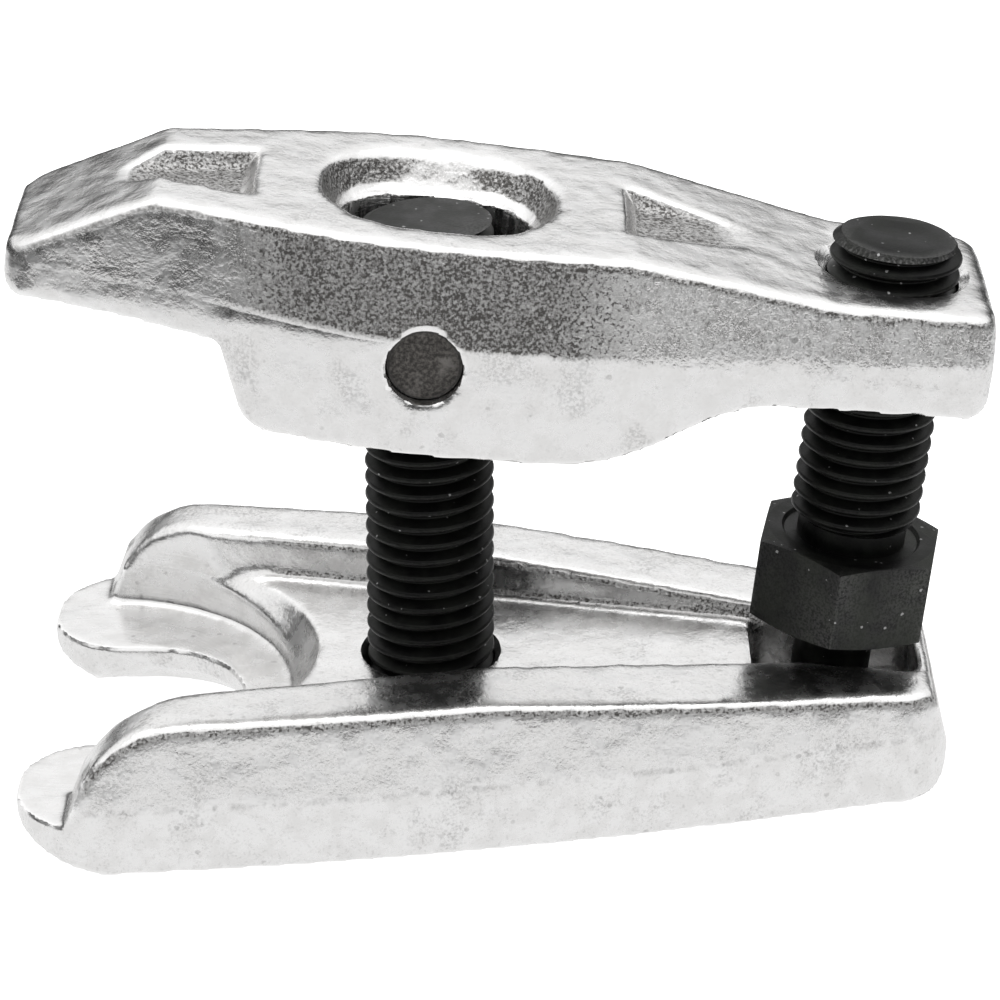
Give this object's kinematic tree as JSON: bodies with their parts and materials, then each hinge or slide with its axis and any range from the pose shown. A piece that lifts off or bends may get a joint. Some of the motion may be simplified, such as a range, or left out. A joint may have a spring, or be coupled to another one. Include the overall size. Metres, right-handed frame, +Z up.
{
  "type": "ball joint separator",
  "caption": "Forged fork and rocking lever on an eye bolt; a pressure screw at the rear closes the jaws to press a ball joint's stem out of its arm.",
  "frame": {"origin": "middle of the tool's length and width, on the plane of the fork's flat underside", "axes": "+X from the jaws to the pressure screw, +Y to the tool's left, +Z up along the eye bolt"},
  "size_m": [0.1326, 0.0776, 0.0888],
  "materials": {
    "zinc_plated_forging": "bright zinc plating over a forged skin",
    "black_oxide_steel": "satin black oxide",
    "bare_pin_steel": "dull dark steel",
    "hardened_ball_steel": "polished"
  },
  "bodies": {
    "fork": {"fork_jaw": "zinc_plated_forging"},
    "eye_bolt": {"eye_bolt": "black_oxide_steel"},
    "lever": {"lever_arm": "zinc_plated_forging", "pivot_pin": "bare_pin_steel"},
    "ball": {"thrust_ball": "hardened_ball_steel"},
    "screw": {"pressure_screw": "black_oxide_steel"}
  },
  "joints": [
    {"name": "jaw_height", "type": "slide", "parent": "fork", "child": "eye_bolt", "axis": [0, 0, 1], "range_m": [0, 0.005]},
    {"name": "lever_tilt", "type": "hinge", "parent": "eye_bolt", "child": "lever", "pos_m": [-0.00994, 0, 0.0685], "axis": [0, -1, 0], "range_deg": [-6.07, 6.07]},
    {"name": "screw_feed", "type": "slide", "parent": "lever", "child": "ball", "axis": [-0.108, 0, -0.9942], "range_m": [-0.006, 0.006]},
    {"name": "screw_turn", "type": "hinge", "parent": "ball", "child": "screw", "pos_m": [0.05209, 0, 0.06176], "axis": [-0.108, 0, -0.9942], "range_deg": [-864.2, 864.2]}
  ],
  "couplings": [
    {"joint": "lever_tilt", "follows": "screw_feed", "rad_per_m": 17.6},
    {"joint": "screw_turn", "follows": "screw_feed", "rad_per_m": 2513.3}
  ]
}
